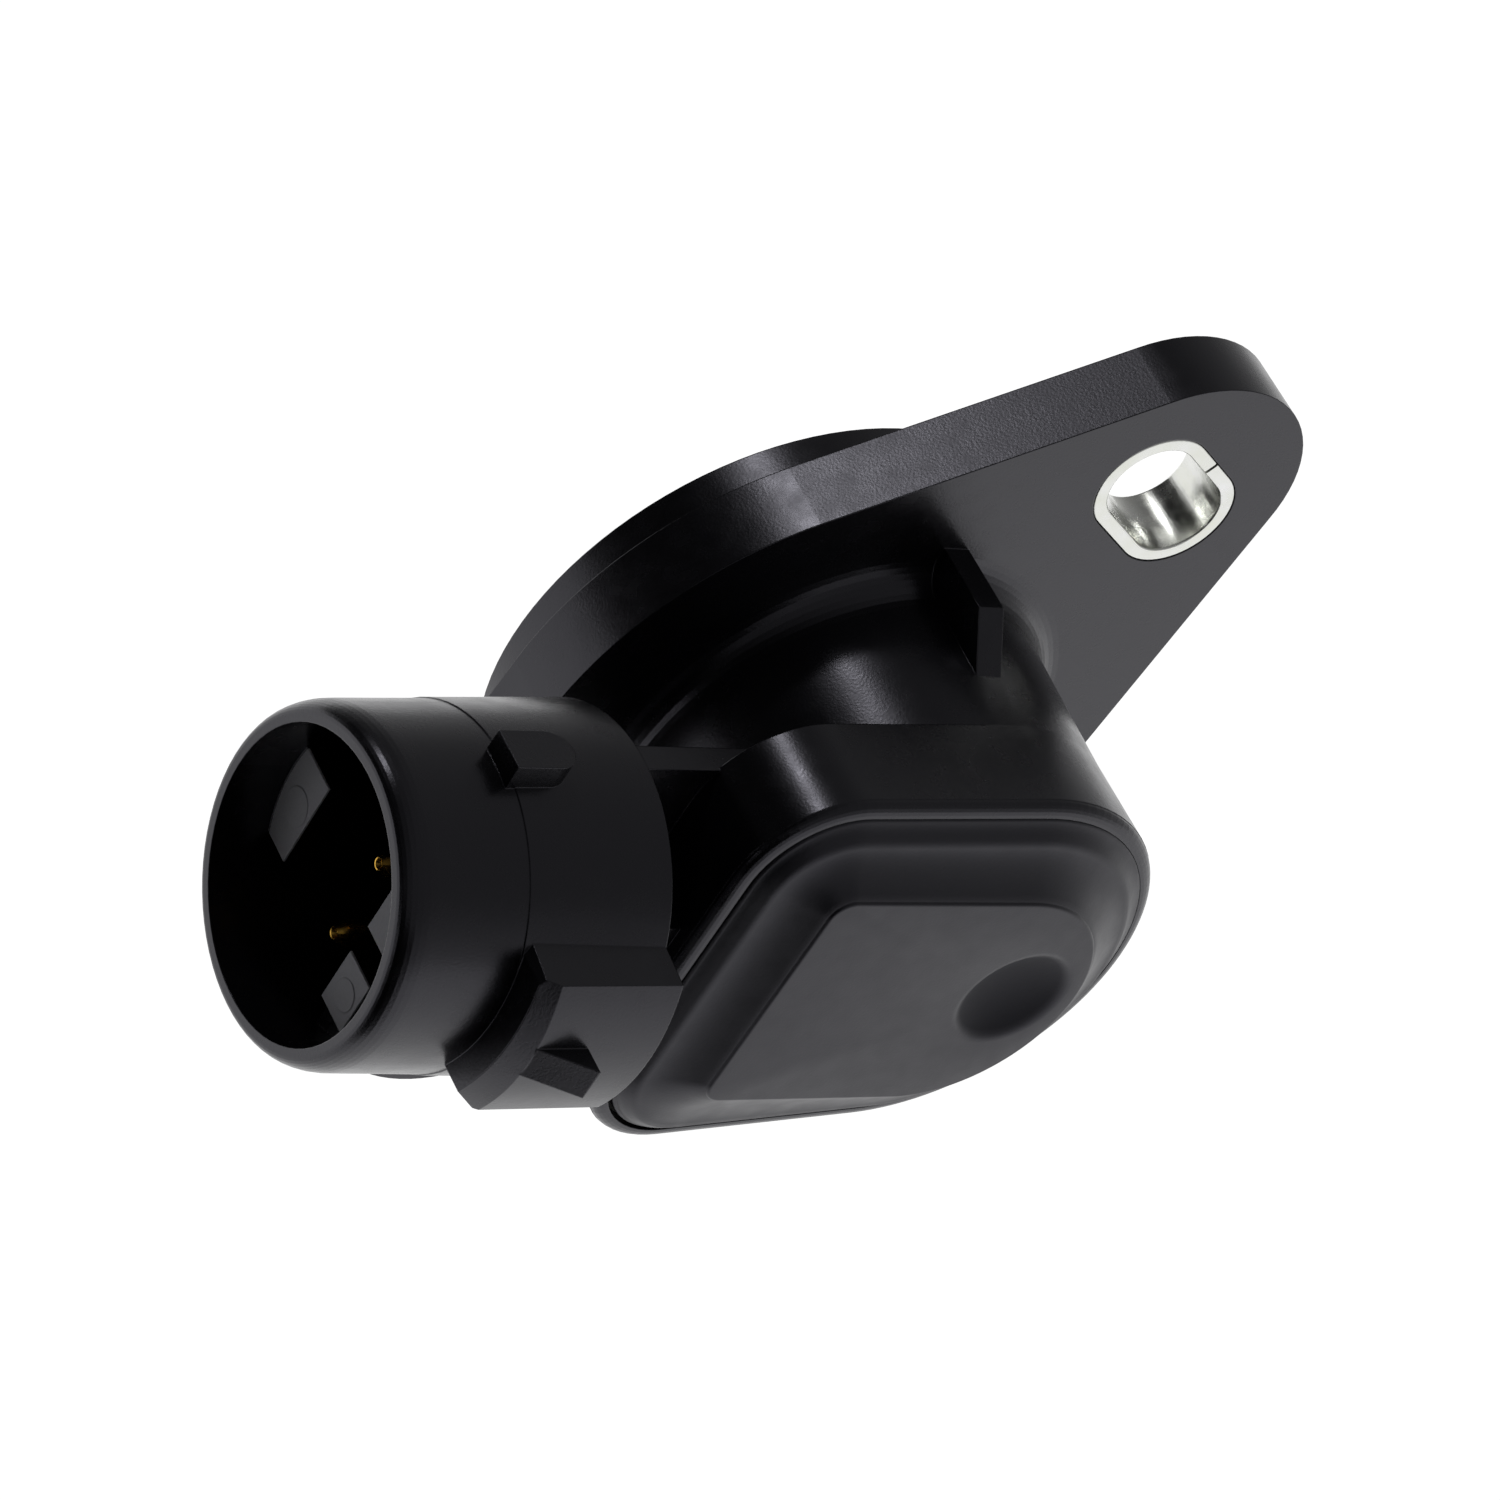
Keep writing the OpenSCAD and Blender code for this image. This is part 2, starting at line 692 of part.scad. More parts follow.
// Ends of the return spring: one lies in the housing's wall, one hooks into the rotor's head
module spring_leg(grow) {
    rotate([0, -spring_start, 0]) translate([spring_r, -spring_low, 0]) rotate([0, 90, 0])
        cylinder(r = wire_r + grow, h = leg_l + grow, $fn = 24);
}

module spring_hook(grow) {
    turn = 360 * spring_turns + spring_start;
    rotate([0, -turn, 0]) translate([spring_r, 0, 0])
        slab(spring_high, head_d + head_t / 2 + grow) circle(wire_r + grow, $fn = 24);
}

// Ring of points round the wire at a place, with the two directions across the wire
function wire_ring(p, u, v) =
    [for (k = [0:spring_sides - 1]) p + wire_r * (cos(k * 360 / spring_sides) * u + sin(k * 360 / spring_sides) * v)];

function outward(a) = [cos(a), 0, sin(a)];
function along(a) = [-sin(a), 0, cos(a)];

module return_spring() {
    n = round(spring_steps * spring_turns);
    front = [0, -1, 0];
    first = spring_start;
    last = first + 360 * spring_turns;
    low = [0, -spring_low, 0];
    high = [0, -spring_high, 0];
    points = concat(
        wire_ring(low + (spring_r + leg_l) * outward(first), along(first), front),
        wire_ring(low + spring_r * outward(first), along(first) + outward(first), front),
        [for (i = [2:n - 2]) let (a = first + i * (last - first) / n)
            each wire_ring(low + (high - low) * i / n + spring_r * outward(a), outward(a), front)],
        wire_ring(high + spring_r * outward(last), outward(last), front - along(last)),
        wire_ring([0, -head_d - head_t / 2, 0] + spring_r * outward(last), outward(last), -along(last)));
    rings = len(points) / spring_sides;
    sides = [for (i = [0:rings - 2], k = [0:spring_sides - 1]) let (j = (k + 1) % spring_sides)
        [i * spring_sides + k, i * spring_sides + j, (i + 1) * spring_sides + j, (i + 1) * spring_sides + k]];
    ends = [[for (k = [0:spring_sides - 1]) spring_sides - 1 - k],
        [for (k = [0:spring_sides - 1]) (rings - 1) * spring_sides + k]];
    color("#8f9296") polyhedron(points, concat(sides, ends));
}

module shaft_seal() {
    color("#1b1b1d") turned() polygon([
        [shaft_r + 0.05, seal_back + 0.9], [shaft_r + 0.7, seal_back], [seal_counter_r, seal_back],
        [seal_counter_r, seal_front], [shaft_r + 1.2, seal_front], [shaft_r + 1.2, seal_back + 1.6],
        [shaft_r + 0.05, seal_back + 1.4]]);
}

module face_seal() {
    color("#1b1b1d") turned() translate([oring_ring_r, oring_floor - oring_r]) circle(oring_r, $fn = 48);
}

housing();
front_cover();
cover_seal();
upper_sleeve();
lower_sleeve();
upper_terminal();
middle_terminal();
lower_terminal();
solder_joints();
resistor_board();
resistive_track();
collector_track();
conductor_lines();
rotor();
rotor_bush();
thrust_washer();
retaining_clip();
wiper_carrier();
wiper_brush();
wiper_rivets();
return_spring();
shaft_seal();
face_seal();
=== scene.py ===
import math

import bmesh
import bpy
from mathutils import Matrix, Vector


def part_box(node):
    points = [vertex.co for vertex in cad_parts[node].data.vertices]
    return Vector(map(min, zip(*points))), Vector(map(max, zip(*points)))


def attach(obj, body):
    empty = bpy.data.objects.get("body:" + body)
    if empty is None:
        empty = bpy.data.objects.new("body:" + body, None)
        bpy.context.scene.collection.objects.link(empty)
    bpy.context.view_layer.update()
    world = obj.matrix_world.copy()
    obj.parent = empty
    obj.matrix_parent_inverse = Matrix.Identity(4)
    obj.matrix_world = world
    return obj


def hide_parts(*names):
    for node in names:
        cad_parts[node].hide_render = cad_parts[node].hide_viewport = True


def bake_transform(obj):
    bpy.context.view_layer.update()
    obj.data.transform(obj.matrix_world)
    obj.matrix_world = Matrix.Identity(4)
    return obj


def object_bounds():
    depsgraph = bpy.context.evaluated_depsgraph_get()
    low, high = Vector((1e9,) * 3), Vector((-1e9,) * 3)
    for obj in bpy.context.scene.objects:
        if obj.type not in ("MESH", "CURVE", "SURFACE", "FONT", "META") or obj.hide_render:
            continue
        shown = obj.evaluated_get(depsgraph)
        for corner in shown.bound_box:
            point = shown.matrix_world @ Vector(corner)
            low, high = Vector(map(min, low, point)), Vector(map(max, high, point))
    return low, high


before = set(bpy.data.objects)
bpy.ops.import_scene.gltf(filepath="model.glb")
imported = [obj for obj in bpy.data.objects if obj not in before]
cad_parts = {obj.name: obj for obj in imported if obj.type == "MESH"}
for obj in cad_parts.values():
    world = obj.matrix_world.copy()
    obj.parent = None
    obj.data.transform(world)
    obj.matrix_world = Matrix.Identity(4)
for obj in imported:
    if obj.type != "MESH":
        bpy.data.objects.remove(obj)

bl_info = {
    "name": "Throttle Position Sensor Dresser",
    "version": (1, 0, 0),
    "blender": (4, 5, 0),
    "location": "3D View > Sidebar > Sensor",
    "description": "Builds the finished looks of a throttle position sensor around its packed solids",
    "category": "Object",
}

MM = 0.001
FIXED = "sensor_body"
CAD_LOW, CAD_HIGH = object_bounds()


# Colours and nodes


def linear(code):
    """Linear colour with alpha from an sRGB hex code such as #1c1c1f."""
    parts = [int(code[i:i + 2], 16) / 255 for i in (1, 3, 5)]
    turned = [c / 12.92 if c <= 0.04045 else ((c + 0.055) / 1.055) ** 2.4 for c in parts]
    return (*turned, 1.0)


def tones(*codes):
    """Linear colours from sRGB hex codes."""
    return [linear(code) for code in codes]


def colour(name, description, code):
    """A colour that a user may change, with an sRGB hex code as its default."""
    return bpy.props.FloatVectorProperty(
        name=name, description=description, default=linear(code), size=4, min=0, max=1, subtype="COLOR")


def add(tree, kind, inputs=None, **settings):
    """Adds a node, sets its settings, and sets or links its inputs."""
    made = tree.nodes.new(kind)
    for name, value in settings.items():
        setattr(made, name, value)
    for name, value in (inputs or {}).items():
        if isinstance(value, bpy.types.NodeSocket):
            tree.links.new(value, made.inputs[name])
        else:
            made.inputs[name].default_value = value
    return made


def new_material(name):
    """An empty material and its node tree."""
    material = bpy.data.materials.new(name)
    material.use_nodes = True
    material.node_tree.nodes.clear()
    return material, material.node_tree


# Most of a grain's values lie between these two.
GRAIN_LOW, GRAIN_HIGH = 0.3, 0.7


def grain(tree, size_mm, detail=2.0, stretch=(1, 1, 1)):
    """A cloudy pattern whose grain has a real size in millimetres, drawn out along an axis by stretch."""
    place = add(tree, "ShaderNodeTexCoord")
    scaled = add(tree, "ShaderNodeMapping", {
        "Vector": place.outputs["Object"], "Scale": [1 / s for s in stretch]})
    return add(tree, "ShaderNodeTexNoise", {
        "Vector": scaled.outputs["Vector"], "Scale": 1 / (size_mm * MM), "Detail": detail,
    }).outputs["Fac"]


# Materials


def finish(name, shader, pair, tone_grain, gloss, gloss_grain, relief, height_mm, relief_grain):
    """A material whose tone, gloss and relief each follow a grain of a real size.

    The pair is its two colours, the gloss its roughness from smoothest to roughest, the relief the
    strength of a bump of a height in millimetres, and a grain is its size, detail and stretch.
    """
    material, tree = new_material(name)
    tone = add(tree, "ShaderNodeMix", {
        "Factor": grain(tree, *tone_grain), "A": pair[0], "B": pair[1]}, data_type="RGBA")
    rough = add(tree, "ShaderNodeMapRange", {
        "Value": grain(tree, *gloss_grain), "From Min": GRAIN_LOW, "From Max": GRAIN_HIGH,
        "To Min": gloss[0], "To Max": gloss[1]})
    raised = add(tree, "ShaderNodeBump", {
        "Strength": relief, "Distance": height_mm * MM, "Height": grain(tree, *relief_grain)})
    inputs = {
        "Base Color": tone.outputs["Result"],
        "Roughness": rough.outputs["Result"],
        "Normal": raised.outputs["Normal"],
    }
    shaded = add(tree, "ShaderNodeBsdfPrincipled", {**shader, **inputs})
    add(tree, "ShaderNodeOutputMaterial", {"Surface": shaded.outputs["BSDF"]})
    return material


def glass_filled_nylon(name, pair, gloss, patch, patch_pair, painted_shade_shine=None):
    """Injection-moulded nylon with glass fibre: black, satin, faintly grainy, with soft moulded edges.

    The patch is where the mould was left rough: matt, with its own two colours, and with its own
    specular level if it has a shine. On the socket's key ends the patch's pale colours are painted
    light, and in the cover's dish its lowered shine is painted shade. The fibres' fleck is drawn a
    little coarser than it is, because the real one is too fine to show.
    """
    material, tree = new_material(name)
    fleck = grain(tree, 0.16, 4)
    mask = patch(tree)
    body = add(tree, "ShaderNodeMix", {
        "Factor": grain(tree, 7, 3), "A": pair[0], "B": pair[1]}, data_type="RGBA")
    # The patch's own tone; on the socket's key ends it is painted light.
    patch_tone = add(tree, "ShaderNodeMix", {
        "Factor": fleck, "A": patch_pair[0], "B": patch_pair[1]}, data_type="RGBA")
    tone = add(tree, "ShaderNodeMix", {
        "Factor": mask, "A": body.outputs["Result"], "B": patch_tone.outputs["Result"]}, data_type="RGBA")
    smooth = add(tree, "ShaderNodeMapRange", {
        "Value": grain(tree, 1.4, 3), "From Min": GRAIN_LOW, "From Max": GRAIN_HIGH,
        "To Min": gloss[0], "To Max": gloss[1]})
    rough = add(tree, "ShaderNodeMix", {"Factor": mask, "A": smooth.outputs["Result"], "B": 0.65})
    edge = add(tree, "ShaderNodeBevel", {"Radius": 0.1 * MM}, samples=8)
    gritty = add(tree, "ShaderNodeBump", {
        "Strength": 0.35, "Distance": 0.02 * MM, "Height": fleck, "Normal": edge.outputs["Normal"]})
    flow = add(tree, "ShaderNodeBump", {
        "Strength": 0.028, "Distance": 0.05 * MM, "Height": grain(tree, 2.5, 2),
        "Normal": gritty.outputs["Normal"]})
    inputs = {
        "Base Color": tone.outputs["Result"],
        "Roughness": rough.outputs["Result"],
        "Normal": flow.outputs["Normal"],
        "IOR": 1.5,
        "Specular Tint": linear("#f2f0ff"),
    }
    # A lowered shine in the patch is painted shade.
    if painted_shade_shine is not None:
        inputs["Specular IOR Level"] = add(tree, "ShaderNodeMapRange", {
            "Value": mask, "To Min": 0.5, "To Max": painted_shade_shine}).outputs["Result"]
    shaded = add(tree, "ShaderNodeBsdfPrincipled", inputs)
    add(tree, "ShaderNodeOutputMaterial", {"Surface": shaded.outputs["BSDF"]})
    return material


def zinc_plated_steel(name, pair):
    """Rolled steel strip, zinc plated: bright, with draw lines along the hole and a faint straw tint."""
    return finish(
        name, {"Metallic": 1.0}, pair, (1.6, 2, (1, 6, 1)), (0.18, 0.3), (0.8, 3),
        0.4, 0.02, (0.25, 3, (1, 40, 1)))


def plated_metal(name, pair, gloss, line_mm=0.15, along=(8, 1, 1)):
    """Drawn or stamped metal: fine lines along the draw and a slight change of tone."""
    return finish(
        name, {"Metallic": 1.0}, pair, (1.8, 2), gloss, (0.6, 2), 0.2, 0.01, (line_mm, 3, along))


def moulded_rubber(name, pair):
    """Moulded seal rubber: matt, with a fine skin and a dusty bloom."""
    return finish(name, {"IOR": 1.52}, pair, (3, 3), (0.6, 0.78), (1, 2), 0.3, 0.02, (0.25, 3))


def moulded_acetal(name, pair):
    """Moulded acetal: hard and slippery, with faint flow marks."""
    return finish(
        name, {"IOR": 1.48}, pair, (4, 2), (0.34, 0.46), (0.9, 2), 0.15, 0.03, (1.2, 3, (1, 2, 1)))


def phenolic_board(name, pair):
    """Pressed paper board in phenolic resin: brown, with fibres lying one way."""
    fibre = (0.2, 4, (6, 1, 1))
    return finish(name, {"IOR": 1.55}, pair, fibre, (0.45, 0.6), (1.5, 2), 0.2, 0.02, fibre)


def printed_carbon(name, pair):
    """Screen-printed carbon film: almost black, matt, polished where the brush runs."""
    mesh_marks = (0.12, 2)
    return finish(name, {"IOR": 1.6}, pair, mesh_marks, (0.3, 0.5), (0.7, 2), 0.2, 0.008, mesh_marks)


# Mesh tools


def loft(name, rings):
    """A closed solid through rings of points."""
    mesh = bmesh.new()
    placed = [[mesh.verts.new(p) for p in ring] for ring in rings]
    count = len(placed[0])
    for low, high in zip(placed, placed[1:]):
        for i in range(count):
            j = (i + 1) % count
            mesh.faces.new((low[i], low[j], high[j], high[i]))
    mesh.faces.new(placed[0][::-1])
    mesh.faces.new(placed[-1])
    bmesh.ops.recalc_face_normals(mesh, faces=mesh.faces)
    data = bpy.data.meshes.new(name)
    mesh.to_mesh(data)
    mesh.free()
    data.shade_smooth()
    data.set_sharp_from_angle(angle=math.radians(38))
    piece = bpy.data.objects.new(name, data)
    bpy.context.scene.collection.objects.link(piece)
    return piece


def dress(piece, material, body, slot, *nodes):
    """Gives a new piece its material and body, and hides the nodes it stands for; the slot is not used."""
    piece.data.materials.append(material)
    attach(piece, body)
    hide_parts(*nodes)


def paint(material, *nodes):
    """Gives CAD nodes their finished material."""
    for name in nodes:
        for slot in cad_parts[name].material_slots:
            slot.link = "OBJECT"
            slot.material = material


def arc(centre, radius, start, end, steps):
    """Points of an arc in a plane, from one angle to another in degrees."""
    turn = [math.radians(start + (end - start) * i / steps) for i in range(steps + 1)]
    return [(centre[0] + radius * math.cos(a), centre[1] + radius * math.sin(a)) for a in turn]


def joined(arcs, steps=12):
    """One closed outline from arcs, with points along the straight runs between them."""
    points = []
    for now, after in zip(arcs, arcs[1:] + arcs[:1]):
        (x0, z0), (x1, z1) = now[-1], after[0]
        points += now
        points += [(x0 + (x1 - x0) * i / steps, z0 + (z1 - z0) * i / steps) for i in range(1, steps)]
    return points


def rounded_box_outline(width, height, radius, steps=4):
    """Corner-rounded rectangle around the origin."""
    x, y = width / 2 - radius, height / 2 - radius
    points = []
    for (sx, sy), start in (((1, 1), 0), ((-1, 1), 90), ((-1, -1), 180), ((1, -1), 270)):
        points += arc((sx * x, sy * y), radius, start, start + 90, steps)
    return points


# Housing

# Set-back of the keys' ends from the socket's mouth, and how closely a face has to lie there.
KEY_SET_BACK = 3.6 * MM
KEY_REACH = 0.12 * MM
SOCKET_RADIUS = 8.7 * MM
# From the plug socket's axis to the plane of its pins.
PIN_OFFSET = 1.6 * MM


class HousingSettings(bpy.types.PropertyGroup):
    """Colours of the moulded housing."""

    dark: colour("Dark", "Darker tone of the black plastic", "#0a0a0c")
    light: colour("Light", "Lighter tone of the black plastic", "#101013")
    # The keys' two pale tones are painted light: they stand in for the light that reaches the key ends
    # deep in the socket.
    painted_lit_key_dark: colour("Key, dark", "Darker tone of the rough ends of the socket's keys", "#c2c2c8")
    painted_lit_key_light: colour("Key, light", "Lighter tone of the rough ends of the socket's keys", "#d4d4da")


def rough_painted_lit_key_faces(tree):
    """One on the ends of the keys in the plug socket, which an eroded core left rough; their pale colour
    is painted light.
    """
    low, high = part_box("middle_terminal")
    mouth_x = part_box("housing")[0].x
    axis_y = high.y - bpy.context.scene.sensor_terminal.pin - PIN_OFFSET
    place = add(tree, "ShaderNodeTexCoord")
    split = add(tree, "ShaderNodeSeparateXYZ", {"Vector": place.outputs["Object"]})
    level = add(tree, "ShaderNodeMath", {
        0: split.outputs["X"], 1: mouth_x + KEY_SET_BACK, 2: KEY_REACH}, operation="COMPARE")
    flat = add(tree, "ShaderNodeCombineXYZ", {"Y": split.outputs["Y"], "Z": split.outputs["Z"]})
    reach = add(tree, "ShaderNodeVectorMath", {
        0: flat.outputs["Vector"], 1: (0, axis_y, (low.z + high.z) / 2)}, operation="DISTANCE")
    inside = add(tree, "ShaderNodeMath", {
        0: reach.outputs["Value"], 1: SOCKET_RADIUS}, operation="LESS_THAN")
    return add(tree, "ShaderNodeMath", {
        0: level.outputs[0], 1: inside.outputs[0]}, operation="MULTIPLY").outputs[0]


class SENSOR_OT_housing(bpy.types.Operator):
    """Finishes the moulded housing with satin black nylon and soft edges"""

    bl_idname = "sensor.housing"
    bl_label = "Housing"

    def execute(self, context):
        s = context.scene.sensor_housing
        # The key ends' pale tones are painted light.
        nylon = glass_filled_nylon(
            "housing_nylon", (s.dark, s.light), (0.23, 0.29), rough_painted_lit_key_faces, (s.painted_lit_key_dark, s.painted_lit_key_light))
        paint(nylon, "housing")
        return {"FINISHED"}


# Front cover

# The cover's edge sits this far right and up in its seat.
COVER_SHIFT = (0.1 * MM, 0.1 * MM)
# From the cap's outer wall to the cover's edge in the solids.
SOLID_EDGE = 1.22 * MM
DISH_CENTRE = (3.6 * MM, 0.4 * MM)
# The dish's floor is matt, with a lowered shine that is painted shade, inside the first radius, and the
# pad's own finish starts at the second.
DISH_MATT = (3.2 * MM, 3.7 * MM)


class CoverSettings(bpy.types.PropertyGroup):
    """Sizes and colours of the front cover that the photograph shows."""

    seam: bpy.props.FloatProperty(
        name="Seam inset", description="How far the cover's edge lies inside the cap's wall",
        default=1.05 * MM, unit="LENGTH")
    turret: bpy.props.FloatProperty(
        name="Round end", description="Radius of the cap's round end",
        default=13.7 * MM, unit="LENGTH")
    corner: bpy.props.FloatProperty(
        name="Corner", description="Radius of the cap's two corners",
        default=6.5 * MM, unit="LENGTH")
    slope: bpy.props.FloatProperty(
        name="Top slope", description="Slope of the cap's top wall",
        default=math.radians(1.3), subtype="ANGLE")
    flare: bpy.props.FloatProperty(
        name="Bottom flare", description="Flare of the cap's bottom wall",
        default=math.radians(6.4), subtype="ANGLE")
    pad_half: bpy.props.FloatProperty(
        name="Pad half height", description="Half height of the raised pad",
        default=8.5 * MM, unit="LENGTH")
    pad_left: bpy.props.FloatProperty(
        name="Pad reach", description="Reach of the pad towards the plug socket",
        default=14.2 * MM, unit="LENGTH")
    pad_corner: bpy.props.FloatProperty(
        name="Pad corner", description="Radius of the pad's two corners",
        default=1.4 * MM, unit="LENGTH")
    dish: bpy.props.FloatProperty(
        name="Dish radius", description="Radius of the dished mark on the pad",
        default=3.63 * MM, unit="LENGTH")
    dish_depth: bpy.props.FloatProperty(
        name="Dish depth", description="Depth of the dished mark",
        default=1.35 * MM, unit="LENGTH")
    dark: colour("Dark", "Darker tone of the black plastic", "#0d0d10")
    light: colour("Light", "Lighter tone of the black plastic", "#131317")
    dish_dark: colour("Dish, dark", "Darker tone of the dish's matt floor", "#141418")
    dish_light: colour("Dish, light", "Lighter tone of the dish's matt floor", "#1a1a1f")


def painted_shade_dish_floor(tree):
    """One inside the dished mark on the cover's pad, fading out at its edge, where the cover's lowered
    shine is painted shade.
    """
    place = add(tree, "ShaderNodeTexCoord")
    split = add(tree, "ShaderNodeSeparateXYZ", {"Vector": place.outputs["Object"]})
    flat = add(tree, "ShaderNodeCombineXYZ", {"X": split.outputs["X"], "Z": split.outputs["Z"]})
    centre = (DISH_CENTRE[0], 0, DISH_CENTRE[1])
    reach = add(tree, "ShaderNodeVectorMath", {
        0: flat.outputs["Vector"], 1: centre}, operation="DISTANCE")
    return add(tree, "ShaderNodeMapRange", {
        "Value": reach.outputs["Value"], "From Min": DISH_MATT[0], "From Max": DISH_MATT[1],
        "To Min": 1, "To Max": 0}).outputs["Result"]


def cap_points(s, inset, shift=(0, 0)):
    """The cap's outline, drawn in by an inset, as X and Z."""
    left = -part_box("front_cover")[0].x + SOLID_EDGE
    corner_x = s.corner - left
    across = s.turret - s.corner
    top = (across + math.sin(s.slope) * corner_x) / math.cos(s.slope)
    low = (across - math.sin(s.flare) * corner_x) / -math.cos(s.flare)
    slope, flare = math.degrees(s.slope), math.degrees(s.flare)
    points = joined([
        arc((0, 0), s.turret - inset, flare - 90, 90 + slope, 72),
        arc((corner_x, top), s.corner - inset, 90 + slope, 180, 20),
        arc((corner_x, low), s.corner - inset, 180, 270 + flare, 20)])
    return [(x + shift[0], z + shift[1]) for x, z in points]


def pad_points(s, inset):
    """The raised pad's outline, point for point with the cap's."""
    side = s.pad_left - s.pad_corner
    tall = s.pad_half - s.pad_corner
    return joined([
        arc((0, 0), s.pad_half - inset, -90, 90, 72),
        arc((-side, tall), s.pad_corner - inset, 90, 180, 20),
        arc((-side, -tall), s.pad_corner - inset, 180, 270, 20)])


def at_depth(points, depth):
    """Points of an outline, placed at a depth in front of the mounting face."""
    return [Vector((x, -depth, z)) for x, z in points]


def cover_outside(s):
    """Rings up the cover's edge, over its crease and its cove, to the pad and its dish."""
    pad_depth = -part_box("front_cover")[0].y
    edge_low = -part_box("cover_seal")[0].y
    rim_top = edge_low + 0.75 * MM
    bend = 0.28 * MM
    rings = [at_depth(cap_points(s, s.seam, COVER_SHIFT), edge_low)]
    for x, d in arc((s.seam + bend, rim_top - bend + 0.1 * MM), bend, 180, 100, 5):
        rings.append(at_depth(cap_points(s, x, COVER_SHIFT), d))

    land = rim_top + 0.08 * MM
    crease = pad_depth - 1.85 * MM
    crease_inset = s.seam + 1.15 * MM
    land_steps, land_bow = 4, 0.85
    for i in range(1, land_steps + 1):
        t = i / land_steps
        inset = s.seam + bend + (crease_inset - s.seam - bend) * t
        rings.append(at_depth(cap_points(s, inset), land + (crease - land) * t ** land_bow))

    lip = 0.22 * MM
    start, end = cap_points(s, crease_inset), pad_points(s, -lip / 2)
    cove_steps, cove_hollow = 12, 1.5
    for i in range(1, cove_steps + 1):
        t = i / cove_steps
        depth = crease + (pad_depth - lip - crease) * t ** cove_hollow
        ring = [(a[0] + (b[0] - a[0]) * t, a[1] + (b[1] - a[1]) * t) for a, b in zip(start, end)]
        rings.append(at_depth(ring, depth))
    for x, d in arc((lip, pad_depth - lip), lip, 165, 90, 4):
        rings.append(at_depth(pad_points(s, x), d))
    return rings + dish_rings(s, pad_depth)


def dish_rings(s, pad_depth):
    """Rings from the pad's face down into the dished mark, matched to the pad's points."""
    x0, z0 = DISH_CENTRE
    angles = [math.atan2(z - z0, x - x0) for x, z in pad_points(s, 0)]
    ball = (s.dish ** 2 + s.dish_depth ** 2) / (2 * s.dish_depth)
    soft = 0.35 * MM
    steps = 16

    def ball_depth(r):
        return math.sqrt(ball ** 2 - r ** 2) - (ball - s.dish_depth)

    rings = []
    for r in [s.dish + soft, s.dish + soft / 2] + [s.dish * (1 - i / steps) for i in range(steps)]:
        if r > s.dish - soft:
            sunk = ball_depth(s.dish - soft) * ((s.dish + soft - r) / (2 * soft)) ** 2
        else:
            sunk = ball_depth(r)
        ring = [(x0 + r * math.cos(a), z0 + r * math.sin(a)) for a in angles]
        rings.append(at_depth(ring, pad_depth - sunk))
    return rings


def cover_inside(s):
    """Rings from the middle of the cover's underside back out to its edge."""
    front = -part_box("front_cover")[1].y
    edge_low = -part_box("cover_seal")[0].y
    roof = -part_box("front_cover")[0].y - s.dish_depth - 1 * MM
    wall, draft = 4.6 * MM, 0.2 * MM
    tongue_in, tongue_out = 2.9 * MM, 1.75 * MM
    rings = (
        (wall + 4 * MM, roof), (wall, roof), (wall - draft, edge_low), (tongue_in, edge_low),
        (tongue_in, front), (tongue_out, front), (tongue_out, edge_low))
    return [at_depth(cap_points(s, inset), depth) for inset, depth in rings]


class SENSOR_OT_cover(bpy.types.Operator):
    """Models the front cover: edge, crease, cove, raised pad and dished mark"""

    bl_idname = "sensor.cover"
    bl_label = "Front Cover"

    def execute(self, context):
        s = context.scene.sensor_cover
        piece = loft("front_cover_shell", cover_inside(s) + cover_outside(s))
        # The dish's lowered shine is painted shade.
        nylon = glass_filled_nylon(
            "cover_nylon", (s.dark, s.light), (0.38, 0.44), painted_shade_dish_floor, (s.dish_dark, s.dish_light),
            painted_shade_shine=0.42)
        dress(piece, nylon, FIXED, "cover_plastic", "front_cover")
        return {"FINISHED"}


# Bolt slot sleeves


class SleeveSettings(bpy.types.PropertyGroup):
    """Sizes and colours of the rolled steel sleeves in the bolt slots."""

    width: bpy.props.FloatProperty(
        name="Clear width", description="Clear width of a bolt slot",
        default=5.7 * MM, unit="LENGTH")
    length: bpy.props.FloatProperty(
        name="Clear length", description="Clear length of a bolt slot",
        default=9.95 * MM, unit="LENGTH")
    wall: bpy.props.FloatProperty(
        name="Wall", description="Thickness of the rolled strip",
        default=0.95 * MM, unit="LENGTH")
    seam: bpy.props.FloatProperty(
        name="Seam", description="Gap where the strip's ends meet",
        default=0.25 * MM, unit="LENGTH")
    edge: bpy.props.FloatProperty(
        name="Edge", description="Rounding of the strip's edges",
        default=0.16 * MM, unit="LENGTH")
    bright: colour("Bright", "Bright tone of the zinc plating", "#e9e9ec")
    straw: colour("Straw", "Straw tint of the zinc plating", "#d4d6c8")


def sleeve_path(s):
    """Centre line of the strip as points with outward directions, from seam to seam."""
    r = (s.width + s.wall) / 2
    half = (s.length - s.width) / 2
    steps = 28
    run = [((r, s.seam / 2), (1, 0)), ((r, half), (1, 0))]
    for centre, start in ((half, 0), (-half, 180)):
        for i in range(1, steps + 1):
            a = math.radians(start + 180 * i / steps)
            out = (math.cos(a), math.sin(a))
            run.append(((r * out[0], centre + r * out[1]), out))
        if start == 0:
            run.append(((-r, -half), (-1, 0)))
    run.append(((r, -s.seam / 2), (1, 0)))
    return run


